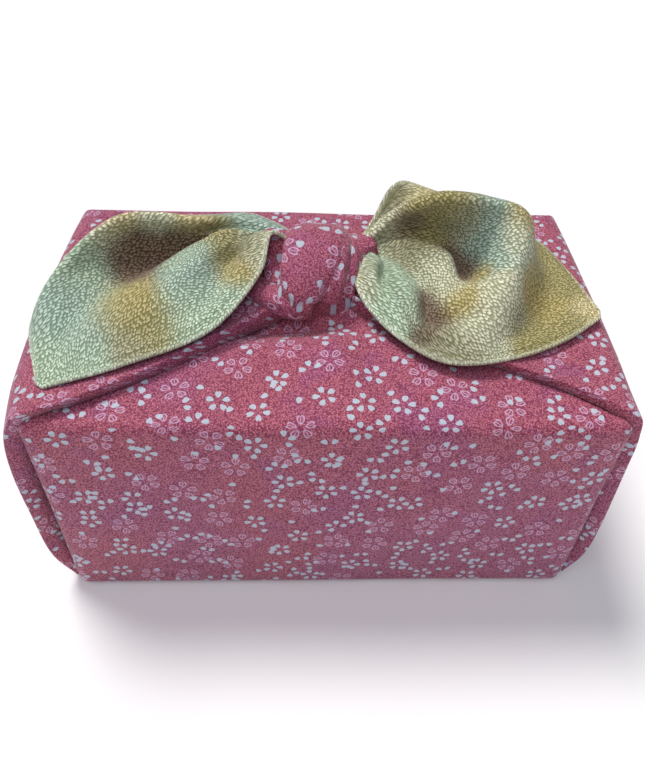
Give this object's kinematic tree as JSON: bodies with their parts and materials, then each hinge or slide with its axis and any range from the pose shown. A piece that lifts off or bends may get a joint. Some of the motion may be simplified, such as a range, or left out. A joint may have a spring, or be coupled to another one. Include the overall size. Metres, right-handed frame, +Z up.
{
  "type": "furoshiki wrap",
  "caption": "Lined wrapping cloth folded round a box shape and tied on top in a bow knot, with printed crepe outside and a shaded green lining in both wings.",
  "frame": {"origin": "on the flat base, under the middle of the bundle", "axes": "+X along the bow towards its taller wing, +Y towards the back of the bundle, +Z up"},
  "size_m": [0.2163, 0.1216, 0.1418],
  "materials": {
    "outer_crepe": "matt rose-pink crepe with a small white cherry blossom print",
    "lining_crepe": "coarse crepe shaded softly between mint, olive and brown"
  },
  "bodies": {
    "root": {"outer_cloth": "outer_crepe", "left_wing_lining": "lining_crepe", "right_wing_lining": "lining_crepe"}
  },
  "joints": []
}
